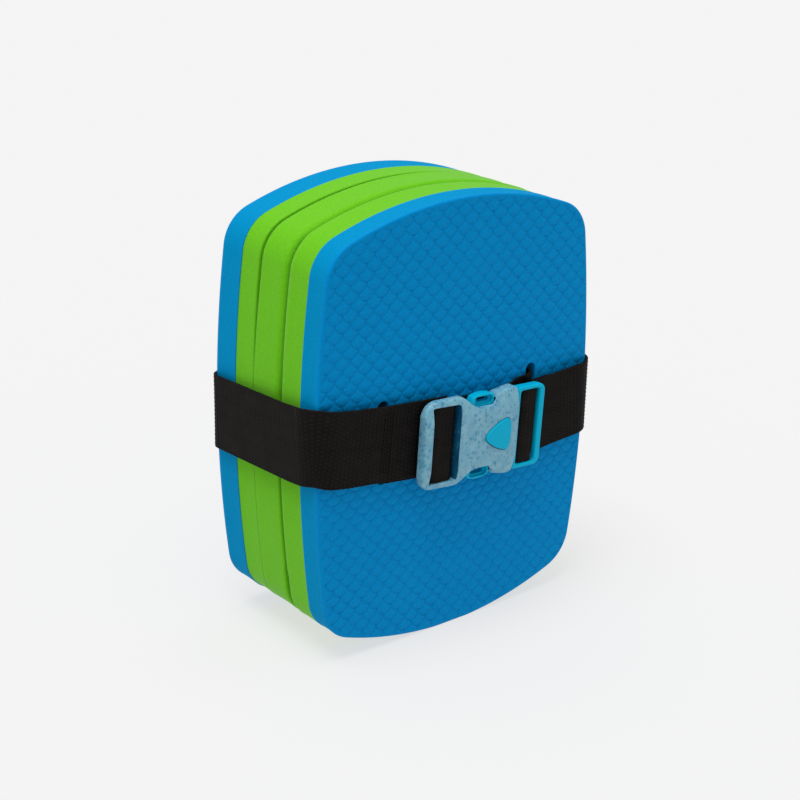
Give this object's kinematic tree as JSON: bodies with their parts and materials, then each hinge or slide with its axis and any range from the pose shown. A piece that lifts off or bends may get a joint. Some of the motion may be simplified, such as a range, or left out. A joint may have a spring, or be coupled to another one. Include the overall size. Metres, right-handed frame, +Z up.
{
  "type": "layered foam back float with waist belt",
  "caption": "Stack of rounded foam pads on a webbing belt with a side-release buckle, worn on the back as a swimming float.",
  "frame": {"origin": "on the floor, under the middle of the bounding box of the buckled float as it stands upright", "axes": "+Z up, +X to the right seen from the front, -Y out of the embossed front face that carries the buckle"},
  "size_m": [0.1768, 0.1003, 0.2207],
  "materials": {
    "foam_blue": "closed-cell foam, matt, embossed front face",
    "foam_green": "closed-cell foam, matt, saw-cut sides",
    "webbing": "ribbed polypropylene webbing",
    "thread": "bonded thread",
    "frosted_plastic": "frosted translucent plastic with teal flecks, satin",
    "teal_plastic": "moulded acetal, satin"
  },
  "bodies": {
    "float": {"rear_pad": "foam_blue", "green_rear_pad": "foam_green", "green_middle_pad": "foam_green", "green_front_pad": "foam_green", "front_pad": "foam_blue", "belt_bridge": "webbing", "belt_slot_left": "webbing", "belt_slot_right": "webbing", "belt_back_left": "webbing", "belt_back_right": "webbing", "belt_side_left": "webbing", "belt_side_right": "webbing", "belt_front_left": "webbing", "belt_front_right": "webbing", "belt_loop_left": "webbing", "belt_tail_left": "webbing", "belt_tail_right": "webbing", "bartack_left": "thread", "belt_hem_right": "webbing", "socket": "frosted_plastic", "pick_inlay": "teal_plastic"},
    "plug": {"plug_frame": "teal_plastic", "belt_loop_right": "webbing"},
    "prong_top": {"prong_top": "teal_plastic"},
    "prong_bottom": {"prong_bottom": "teal_plastic"}
  },
  "joints": [
    {"name": "plug_slide", "type": "slide", "parent": "float", "child": "plug", "axis": [0.9986, 0, -0.0523], "range_m": [0, 0.032], "deforming": ["prong_top", "prong_bottom"]},
    {"name": "prong_top_press", "type": "hinge", "parent": "plug", "child": "prong_top", "pos_m": [0.02795, -0.04415, 0.11711], "axis": [0, -1, 0], "range_deg": [0, 10], "stiffness_Nm_per_rad": 0.05},
    {"name": "prong_bottom_press", "type": "hinge", "parent": "plug", "child": "prong_bottom", "pos_m": [0.02639, -0.04415, 0.08735], "axis": [0, 1, 0], "range_deg": [0, 10], "stiffness_Nm_per_rad": 0.05}
  ],
  "couplings": [
    {"joint": "prong_bottom_press", "follows": "prong_top_press", "ratio": 1}
  ]
}
